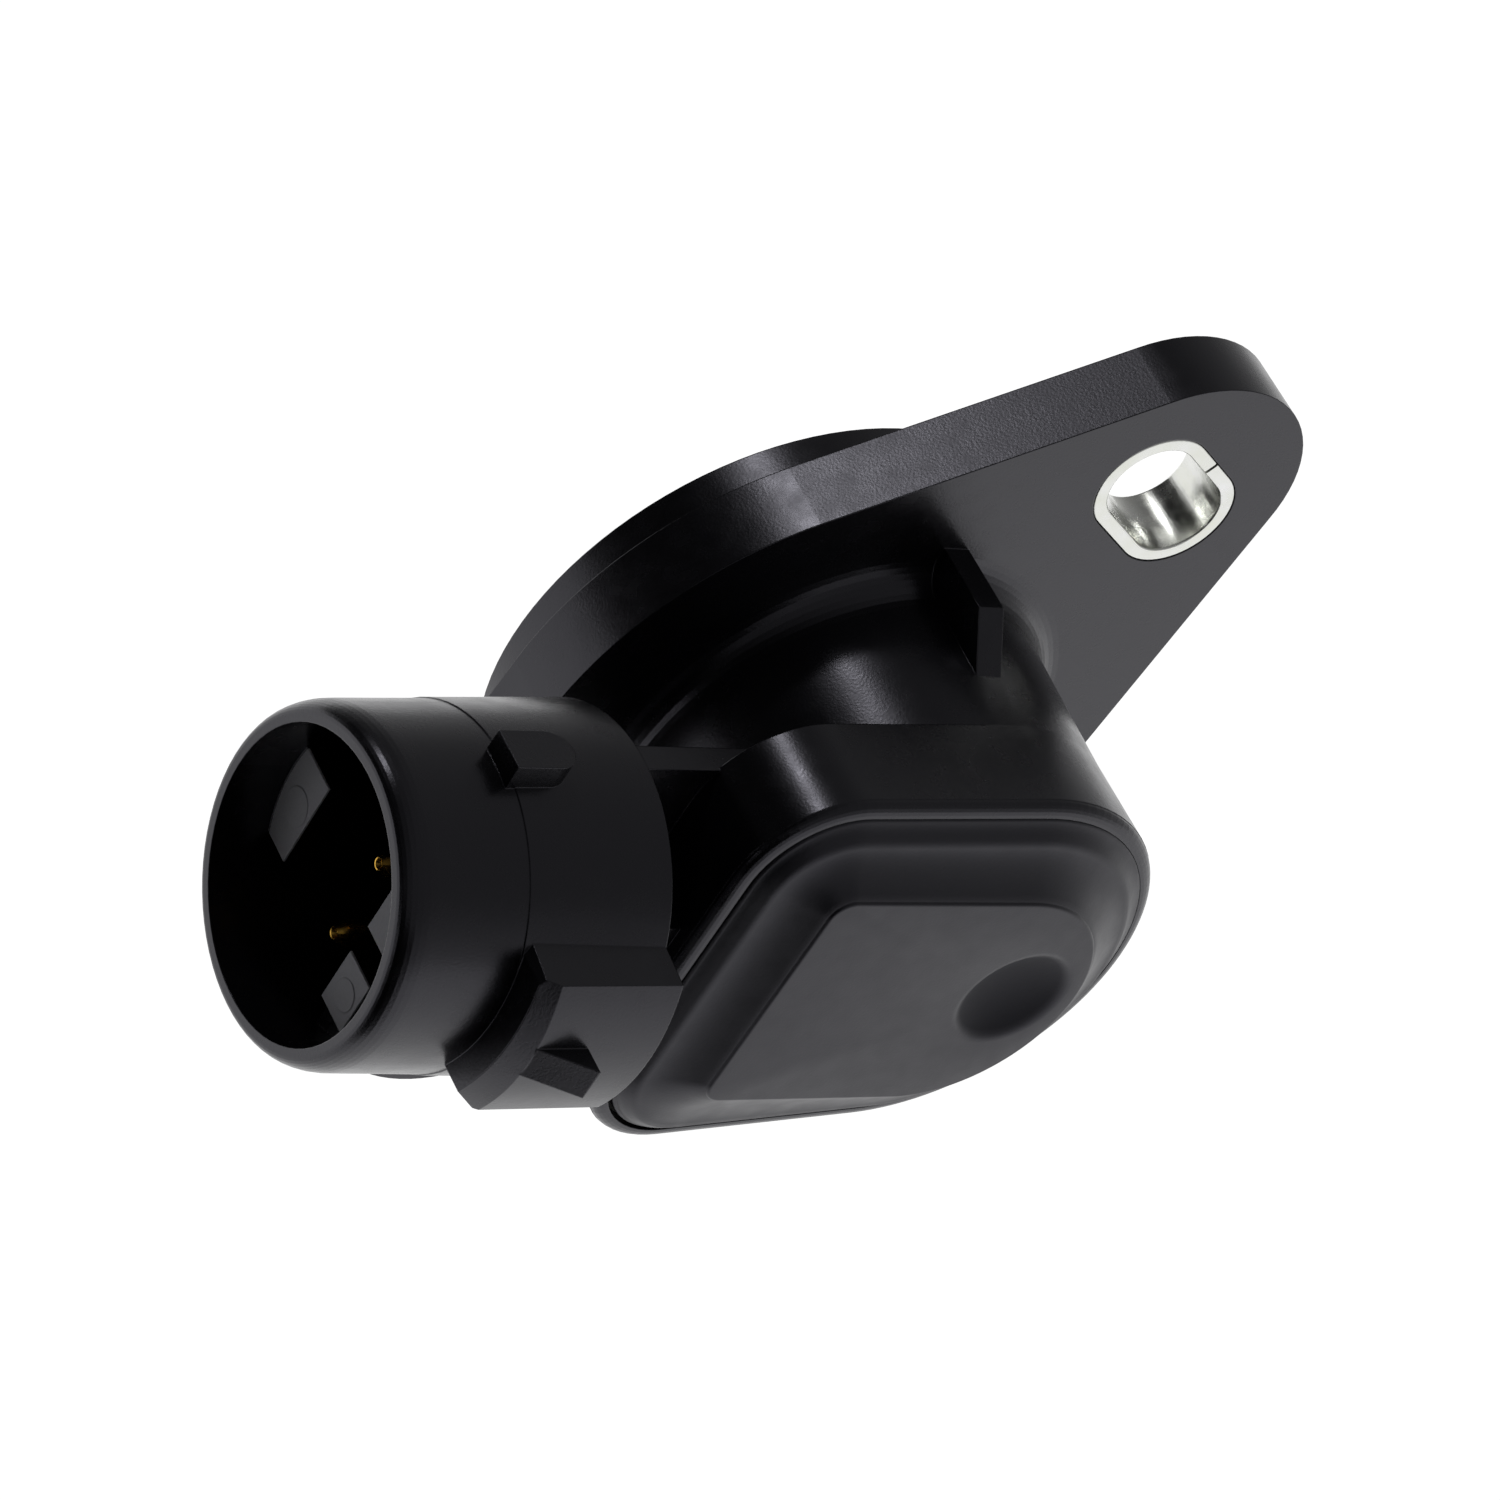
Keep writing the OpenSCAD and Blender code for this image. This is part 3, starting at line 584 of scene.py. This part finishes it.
def make_sleeve(s, node):
    """A strip rolled to the slot's outline, standing in its ear."""
    low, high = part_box(node)
    middle = (low + high) / 2
    outwards = Vector((middle.x, 0, middle.z)).normalized()
    across = Vector((-outwards.z, 0, outwards.x))
    section = rounded_box_outline(s.wall, high.y - low.y, s.edge)
    rings = []
    for (u, v), (nu, nv) in sleeve_path(s):
        point = middle + outwards * u + across * v
        normal = outwards * nu + across * nv
        rings.append([point + normal * a + Vector((0, b, 0)) for a, b in section])
    return loft(node + "_strip", rings)


class SENSOR_OT_sleeves(bpy.types.Operator):
    """Rolls the two steel sleeves that line the bolt slots"""

    bl_idname = "sensor.sleeves"
    bl_label = "Bolt Slot Sleeves"

    def execute(self, context):
        s = context.scene.sensor_sleeve
        steel = zinc_plated_steel("zinc_plated_steel", (s.bright, s.straw))
        for node in ("upper_sleeve", "lower_sleeve"):
            dress(make_sleeve(s, node), steel, FIXED, "sleeve_steel", node)
        return {"FINISHED"}


# Terminals


class TerminalSettings(bpy.types.PropertyGroup):
    """Sizes and colours of the three plug pins and their tails."""

    pin: bpy.props.FloatProperty(
        name="Pin radius", description="Radius of a pin", default=0.75 * MM, unit="LENGTH")
    tip: bpy.props.FloatProperty(
        name="Tip length", description="Length of the pin's tapered tip",
        default=0.9 * MM, unit="LENGTH")
    tail_width: bpy.props.FloatProperty(
        name="Tail width", description="Width of the flat tail", default=1.2 * MM, unit="LENGTH")
    tail_thick: bpy.props.FloatProperty(
        name="Tail thickness", description="Thickness of the flat tail",
        default=0.8 * MM, unit="LENGTH")
    bend: bpy.props.FloatProperty(
        name="Bend", description="Inside radius of the tail's bend",
        default=0.15 * MM, unit="LENGTH")
    pale: colour("Pale", "Paler tone of the gold plating", "#e8bd5a")
    deep: colour("Deep", "Deeper tone of the gold plating", "#c9973a")


def squircle(half_a, half_b, power, sides=32):
    """Outline between an ellipse, at power 2, and a rectangle, at a high power."""
    points = []
    for i in range(sides):
        a = 2 * math.pi * i / sides
        c, d = math.cos(a), math.sin(a)
        points.append((
            half_a * math.copysign(abs(c) ** (2 / power), c),
            half_b * math.copysign(abs(d) ** (2 / power), d)))
    return points


def make_terminal(s, node):
    """One terminal: a round pin with a coined tip, a flat run and a tail bent into the board."""
    low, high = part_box(node)
    z = (low.z + high.z) / 2
    y = high.y - s.pin
    flat = squircle(s.tail_width / 2, s.tail_thick / 2, 8)
    rings = []

    def along_x(x, outline):
        rings.append([Vector((x, y + v, z + w)) for w, v in outline])

    def round_at(x, r):
        along_x(x, squircle(r, r, 2))

    dimple = 0.35 * MM
    round_at(low.x + dimple, 0.04 * MM)
    round_at(low.x + dimple * 0.8, s.pin * 0.22)
    round_at(low.x + 0.02 * MM, s.pin * 0.42)
    round_at(low.x, s.pin * 0.5)
    for i in range(1, 6):
        t = i / 5
        round_at(low.x + s.tip * t, s.pin * (0.5 + 0.5 * math.sin(t * math.pi / 2)))

    pin_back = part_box("housing")[0].x + 15.7 * MM
    round_at(pin_back - 1 * MM, s.pin)
    along_x(pin_back, flat)

    bend = s.bend + s.tail_thick / 2
    foot_x = high.x - s.tail_thick / 2
    for u, v in arc((foot_x - bend, bend), bend, -90, 0, 6):
        side = Vector((u - foot_x + bend, bend - v, 0)).normalized()
        rings.append([Vector((u, y - v, z + w)) + side * t for w, t in flat])
    rings.append([Vector((foot_x + t, low.y, z + w)) for w, t in flat])
    return loft(node + "_pin", rings)


class SENSOR_OT_terminals(bpy.types.Operator):
    """Makes the three plated terminals and finishes their solder joints"""

    bl_idname = "sensor.terminals"
    bl_label = "Terminals"

    def execute(self, context):
        s = context.scene.sensor_terminal
        gold = plated_metal("gold_plated_brass", (s.pale, s.deep), (0.2, 0.34))
        for node in ("upper_terminal", "middle_terminal", "lower_terminal"):
            dress(make_terminal(s, node), gold, FIXED, "terminal_brass", node)
        solder = plated_metal("tin_solder", tones("#c9cacb", "#a9abad"), (0.2, 0.36), 0.5, (1, 1, 1))
        paint(solder, "solder_joints")
        return {"FINISHED"}


# Resistor board


class BoardSettings(bpy.types.PropertyGroup):
    """Colours of the resistor board."""

    dark: colour("Dark", "Darker tone of the board", "#5f4a2c")
    light: colour("Light", "Lighter tone of the board", "#8b7048")


class SENSOR_OT_board(bpy.types.Operator):
    """Finishes the resistor board and its printed tracks"""

    bl_idname = "sensor.board"
    bl_label = "Resistor Board"

    def execute(self, context):
        s = context.scene.sensor_board
        carbon = printed_carbon("printed_carbon", tones("#141414", "#232322"))
        silver = plated_metal("printed_silver", tones("#c4c1b8", "#a39f95"), (0.38, 0.55), 0.12, (1, 1, 1))
        paint(phenolic_board("phenolic_board", (s.dark, s.light)), "resistor_board")
        paint(carbon, "resistive_track")
        paint(silver, "collector_track", "conductor_lines")
        return {"FINISHED"}


# Rotor and its running parts


class RotorSettings(bpy.types.PropertyGroup):
    """Colours of the rotor."""

    dark: colour("Dark", "Darker tone of the black acetal", "#242426")
    light: colour("Light", "Lighter tone of the black acetal", "#313134")


class SENSOR_OT_rotor(bpy.types.Operator):
    """Finishes the rotor, its bush, washer, clip, carrier, brush and rivets"""

    bl_idname = "sensor.rotor"
    bl_label = "Rotor"

    def execute(self, context):
        s = context.scene.sensor_rotor
        even = (1, 1, 1)
        bronze = plated_metal("sintered_bronze", tones("#b98a52", "#8d6434"), (0.4, 0.6), 0.1, even)
        steel = plated_metal("stamped_steel", tones("#9fa2a6", "#83868a"), (0.25, 0.4), 0.1, (1, 1, 6))
        alloy = plated_metal("contact_alloy", tones("#d8bd86", "#bd9f66"), (0.22, 0.35), 0.08)
        rivet = plated_metal("rivet_aluminium", tones("#c6c8ca", "#abadb0"), (0.28, 0.42), 0.2, even)
        paint(moulded_acetal("black_acetal", (s.dark, s.light)), "rotor")
        paint(moulded_acetal("natural_acetal", tones("#d9d5c8", "#c7c2b2")), "thrust_washer")
        paint(moulded_acetal("carrier_acetal", tones("#4d463a", "#3b362d")), "wiper_carrier")
        paint(bronze, "rotor_bush")
        paint(steel, "retaining_clip")
        paint(alloy, "wiper_brush")
        paint(rivet, "wiper_rivets")
        return {"FINISHED"}


# Return spring


class SpringSettings(bpy.types.PropertyGroup):
    """Sizes and colours of the return spring round the rotor's hub."""

    wire: bpy.props.FloatProperty(
        name="Wire radius", description="Radius of the spring's wire",
        default=0.4 * MM, unit="LENGTH")
    turns: bpy.props.FloatProperty(
        name="Turns", description="Turns of the spring", default=4.5)
    start: bpy.props.FloatProperty(
        name="Leg angle", description="Angle at which the leg leaves the coil",
        default=math.radians(-100), subtype="ANGLE")
    rise: bpy.props.FloatProperty(
        name="Coil length", description="Length of the coil along the rotor's axis",
        default=4.4 * MM, unit="LENGTH")
    pale: colour("Pale", "Paler tone of the wire", "#9a9da2")
    deep: colour("Deep", "Deeper tone of the wire", "#7e8186")


def tube(name, points, radius, sides=16):
    """A round wire along points, turned as little as possible from ring to ring."""
    rings = []
    up = Vector((0, 1, 0))
    for i, point in enumerate(points):
        ahead = points[min(i + 1, len(points) - 1)] - points[max(i - 1, 0)]
        ahead.normalize()
        side = ahead.cross(up).normalized()
        if side.length < 0.5:
            side = ahead.cross(Vector((1, 0, 0))).normalized()
        up = side.cross(ahead).normalized()
        rings.append([
            point + radius * (side * math.cos(a) + up * math.sin(a))
            for a in (2 * math.pi * k / sides for k in range(sides))])
    return loft(name, rings)


class SENSOR_OT_spring(bpy.types.Operator):
    """Winds the return spring, with its leg in the housing and its hook in the rotor"""

    bl_idname = "sensor.spring"
    bl_label = "Return Spring"

    def execute(self, context):
        s = context.scene.sensor_spring
        low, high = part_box("return_spring")
        r = high.x - s.wire
        near = high.y - s.wire + 0.02 * MM
        far = near - s.rise
        last = s.start + 2 * math.pi * s.turns
        points = [
            Vector(((r + reach) * math.cos(s.start), near, (r + reach) * math.sin(s.start)))
            for reach in (2.7 * MM, 1.8 * MM, 0.9 * MM)]
        steps = 288
        for i in range(3, steps - 2):
            a = s.start + (last - s.start) * i / steps
            points.append(Vector((r * math.cos(a), near - s.rise * i / steps, r * math.sin(a))))
        for y in (far - 0.5 * MM, far - 1.2 * MM, low.y):
            points.append(Vector((r * math.cos(last), y, r * math.sin(last))))
        piece = tube("return_spring_coil", points, s.wire)
        steel = plated_metal("spring_wire_steel", (s.pale, s.deep), (0.22, 0.36), 0.12, (1, 6, 1))
        piece.data.materials.append(steel)
        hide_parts("return_spring")
        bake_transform(piece)
        return {"FINISHED"}


# Seals


class SealSettings(bpy.types.PropertyGroup):
    """Colours of the rubber seals."""

    dark: colour("Dark", "Darker tone of the rubber", "#131314")
    light: colour("Light", "Lighter tone of the rubber", "#1b1b1d")


class SENSOR_OT_seals(bpy.types.Operator):
    """Finishes the cover seal, the shaft seal and the face seal"""

    bl_idname = "sensor.seals"
    bl_label = "Seals"

    def execute(self, context):
        s = context.scene.sensor_seal
        paint(moulded_rubber("seal_rubber", (s.dark, s.light)), "cover_seal", "shaft_seal", "face_seal")
        return {"FINISHED"}


# Stage


class StageSettings(bpy.types.PropertyGroup):
    """Camera, floor and light."""

    aim: bpy.props.FloatVectorProperty(
        name="Aim", description="Point at the middle of the picture",
        default=(-1.52 * MM, -1.87 * MM, -3.44 * MM), subtype="XYZ", unit="LENGTH")
    distance: bpy.props.FloatProperty(
        name="Distance", description="From the camera to the aim", default=0.35, unit="LENGTH")
    azimuth: bpy.props.FloatProperty(
        name="Azimuth", description="Way round the sensor, from straight in front of its cover",
        default=math.radians(-48.994), subtype="ANGLE")
    elevation: bpy.props.FloatProperty(
        name="Elevation", description="Height of the view above level",
        default=math.radians(34.612), subtype="ANGLE")
    roll: bpy.props.FloatProperty(
        name="Roll", description="How far the camera leans to its left",
        default=math.radians(34.582), subtype="ANGLE")
    lens: bpy.props.FloatProperty(
        name="Lens", description="Focal length in millimetres for a 36 mm wide picture",
        default=140.69)
    floor_drop: bpy.props.FloatProperty(
        name="Floor drop", description="From the sensor's lowest point down to the floor",
        default=0.09, unit="LENGTH")
    box_power: bpy.props.FloatProperty(
        name="Soft box", description="Power of the soft box above and behind",
        default=0.144, unit="POWER")
    lamp_power: bpy.props.FloatProperty(
        name="Lamp", description="Power of the small lamp in front of the soft box",
        default=0.6, unit="POWER")


def make_camera(s):
    """The camera at the photograph's angle."""
    back = Vector((
        math.sin(s.azimuth) * math.cos(s.elevation),
        -math.cos(s.azimuth) * math.cos(s.elevation),
        math.sin(s.elevation)))
    camera = bpy.data.objects.new("camera", bpy.data.cameras.new("camera"))
    bpy.context.scene.collection.objects.link(camera)
    camera.data.sensor_width = 36
    camera.data.lens = s.lens
    camera.data.clip_start = 0.01
    camera.data.clip_end = 20
    level = (-back).to_track_quat("-Z", "Y").to_matrix().to_4x4()
    camera.matrix_world = (
        Matrix.Translation(Vector(s.aim) + back * s.distance)
        @ level @ Matrix.Rotation(s.roll, 4, "Z"))
    bpy.context.scene.camera = camera


def make_floor(s):
    """A wide pale floor below the sensor, white to the camera, to metal and to gloss."""
    mesh = bmesh.new()
    bmesh.ops.create_circle(mesh, cap_ends=True, segments=96, radius=6)
    data = bpy.data.meshes.new("floor")
    mesh.to_mesh(data)
    mesh.free()
    floor = bpy.data.objects.new("floor", data)
    bpy.context.scene.collection.objects.link(floor)
    floor.location.z = CAD_LOW.z - s.floor_drop
    material, tree = new_material("white_studio_floor")
    seen = add(tree, "ShaderNodeLightPath")
    direct = add(tree, "ShaderNodeMath", {
        0: seen.outputs["Is Camera Ray"], 1: seen.outputs["Is Glossy Ray"]}, operation="MAXIMUM")
    shown = add(tree, "ShaderNodeMath", {
        0: direct.outputs[0], 1: seen.outputs["Is Transmission Ray"]}, operation="MAXIMUM")
    lift = add(tree, "ShaderNodeMath", {0: shown.outputs[0], 1: 0.88}, operation="MULTIPLY")
    tone = add(tree, "ShaderNodeMix", {
        "Factor": grain(tree, 400, 2), "A": linear("#e4e4e4"), "B": linear("#ececec")},
        data_type="RGBA")
    paper = add(tree, "ShaderNodeBsdfDiffuse", {"Color": tone.outputs["Result"]})
    glow = add(tree, "ShaderNodeEmission", {"Strength": lift.outputs[0]})
    both = add(tree, "ShaderNodeAddShader", {0: paper.outputs[0], 1: glow.outputs[0]})
    add(tree, "ShaderNodeOutputMaterial", {"Surface": both.outputs[0]})
    data.materials.append(material)


def make_world():
    """A grey studio wall that darkens to a dim ceiling and to the left; the camera sees it white."""
    world = bpy.data.worlds.new("studio")
    world.use_nodes = True
    tree = world.node_tree
    tree.nodes.clear()
    direction = add(tree, "ShaderNodeTexCoord")
    split = add(tree, "ShaderNodeSeparateXYZ", {"Vector": direction.outputs["Generated"]})
    right = add(tree, "ShaderNodeVectorMath", {
        0: direction.outputs["Generated"], 1: (0.87, -0.5, 0)}, operation="DOT_PRODUCT")
    height = add(tree, "ShaderNodeMapRange", {
        "Value": split.outputs["Z"], "From Min": 0, "From Max": 0.5, "To Min": 0.55, "To Max": 0.24})
    side = add(tree, "ShaderNodeMapRange", {
        "Value": right.outputs["Value"], "From Min": -0.6, "From Max": 0.2,
        "To Min": 0.06, "To Max": 1})
    wall = add(tree, "ShaderNodeMath", {
        0: height.outputs["Result"], 1: side.outputs["Result"]}, operation="MULTIPLY")
    seen = add(tree, "ShaderNodeLightPath")
    shown = add(tree, "ShaderNodeMath", {
        0: wall.outputs[0], 1: seen.outputs["Is Camera Ray"]}, operation="MAXIMUM")
    sky = add(tree, "ShaderNodeBackground", {"Color": linear("#ffffff"), "Strength": shown.outputs[0]})
    add(tree, "ShaderNodeOutputWorld", {"Surface": sky.outputs[0]})
    bpy.context.scene.world = world


def make_soft_box(name, direction, distance, size, power):
    """A square soft light that faces the sensor."""
    lamp = bpy.data.lights.new(name, "AREA")
    lamp.shape = "SQUARE"
    lamp.size = size
    lamp.energy = power
    holder = bpy.data.objects.new(name, lamp)
    bpy.context.scene.collection.objects.link(holder)
    holder.location = Vector(direction).normalized() * distance
    holder.rotation_mode = "QUATERNION"
    holder.rotation_quaternion = holder.location.to_track_quat("Z", "Y")


def make_dark_card(s, foot, width, height):
    """A black card that stands below the camera, outside the picture, and keeps reflections there dark."""
    x, y = foot
    away = math.hypot(x, y)
    u, v = -y / away * width / 2, x / away * width / 2
    low = CAD_LOW.z - s.floor_drop
    corners = [(x + a * u, y + a * v, low + b * height) for a, b in ((-1, 0), (1, 0), (1, 1), (-1, 1))]
    data = bpy.data.meshes.new("dark_card")
    data.from_pydata(corners, [], [(0, 1, 2, 3)])
    card = bpy.data.objects.new("dark_card", data)
    bpy.context.scene.collection.objects.link(card)
    material, tree = new_material("black_card")
    tone = add(tree, "ShaderNodeMix", {
        "Factor": grain(tree, 30, 2), "A": linear("#0a0a0a"), "B": linear("#101010")},
        data_type="RGBA")
    paper = add(tree, "ShaderNodeBsdfDiffuse", {"Color": tone.outputs["Result"]})
    add(tree, "ShaderNodeOutputMaterial", {"Surface": paper.outputs[0]})
    data.materials.append(material)
    card.visible_camera = False


class SENSOR_OT_stage(bpy.types.Operator):
    """Sets up the camera, the pale floor and the soft studio light"""

    bl_idname = "sensor.stage"
    bl_label = "Stage"

    def execute(self, context):
        s = context.scene.sensor_stage
        make_camera(s)
        make_floor(s)
        make_world()
        make_soft_box(
            "back_soft_box", direction=(-0.24, 0.56, 0.8), distance=0.9, size=0.22, power=s.box_power)
        make_soft_box(
            "back_lamp", direction=(-0.24, 0.54, 0.81), distance=0.85, size=0.08, power=s.lamp_power)
        make_dark_card(s, foot=(-0.085, -0.105), width=0.13, height=0.17)
        context.scene.view_settings.view_transform = "Standard"
        return {"FINISHED"}


# Add-on


SETTINGS = {
    "sensor_housing": HousingSettings,
    "sensor_cover": CoverSettings,
    "sensor_sleeve": SleeveSettings,
    "sensor_terminal": TerminalSettings,
    "sensor_board": BoardSettings,
    "sensor_rotor": RotorSettings,
    "sensor_spring": SpringSettings,
    "sensor_seal": SealSettings,
    "sensor_stage": StageSettings,
}
OPERATORS = (
    SENSOR_OT_housing, SENSOR_OT_cover, SENSOR_OT_sleeves, SENSOR_OT_terminals, SENSOR_OT_board,
    SENSOR_OT_rotor, SENSOR_OT_spring, SENSOR_OT_seals, SENSOR_OT_stage)


class SENSOR_PT_panel(bpy.types.Panel):
    """Lists the sensor's pieces and the stage, each with its settings"""

    bl_idname = "SENSOR_PT_panel"
    bl_label = "Throttle Position Sensor"
    bl_space_type = "VIEW_3D"
    bl_region_type = "UI"
    bl_category = "Sensor"

    def draw(self, context):
        for operator, (name, group) in zip(OPERATORS, SETTINGS.items()):
            box = self.layout.box()
            box.operator(operator.bl_idname)
            for setting in group.__annotations__:
                box.prop(getattr(context.scene, name), setting)


CLASSES = (*SETTINGS.values(), *OPERATORS, SENSOR_PT_panel)


def register():
    """Registers the classes and hangs each settings group on the scene."""
    for cls in CLASSES:
        bpy.utils.register_class(cls)
    for name, group in SETTINGS.items():
        setattr(bpy.types.Scene, name, bpy.props.PointerProperty(type=group))


def unregister():
    """Takes the settings groups and the classes away again."""
    for name in SETTINGS:
        delattr(bpy.types.Scene, name)
    for cls in reversed(CLASSES):
        bpy.utils.unregister_class(cls)


def main():
    """Registers the add-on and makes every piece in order."""
    register()
    bpy.ops.sensor.housing()
    bpy.ops.sensor.cover()
    bpy.ops.sensor.sleeves()
    bpy.ops.sensor.terminals()
    bpy.ops.sensor.board()
    bpy.ops.sensor.rotor()
    bpy.ops.sensor.spring()
    bpy.ops.sensor.seals()
    bpy.ops.sensor.stage()


if __name__ == "__main__":
    main()
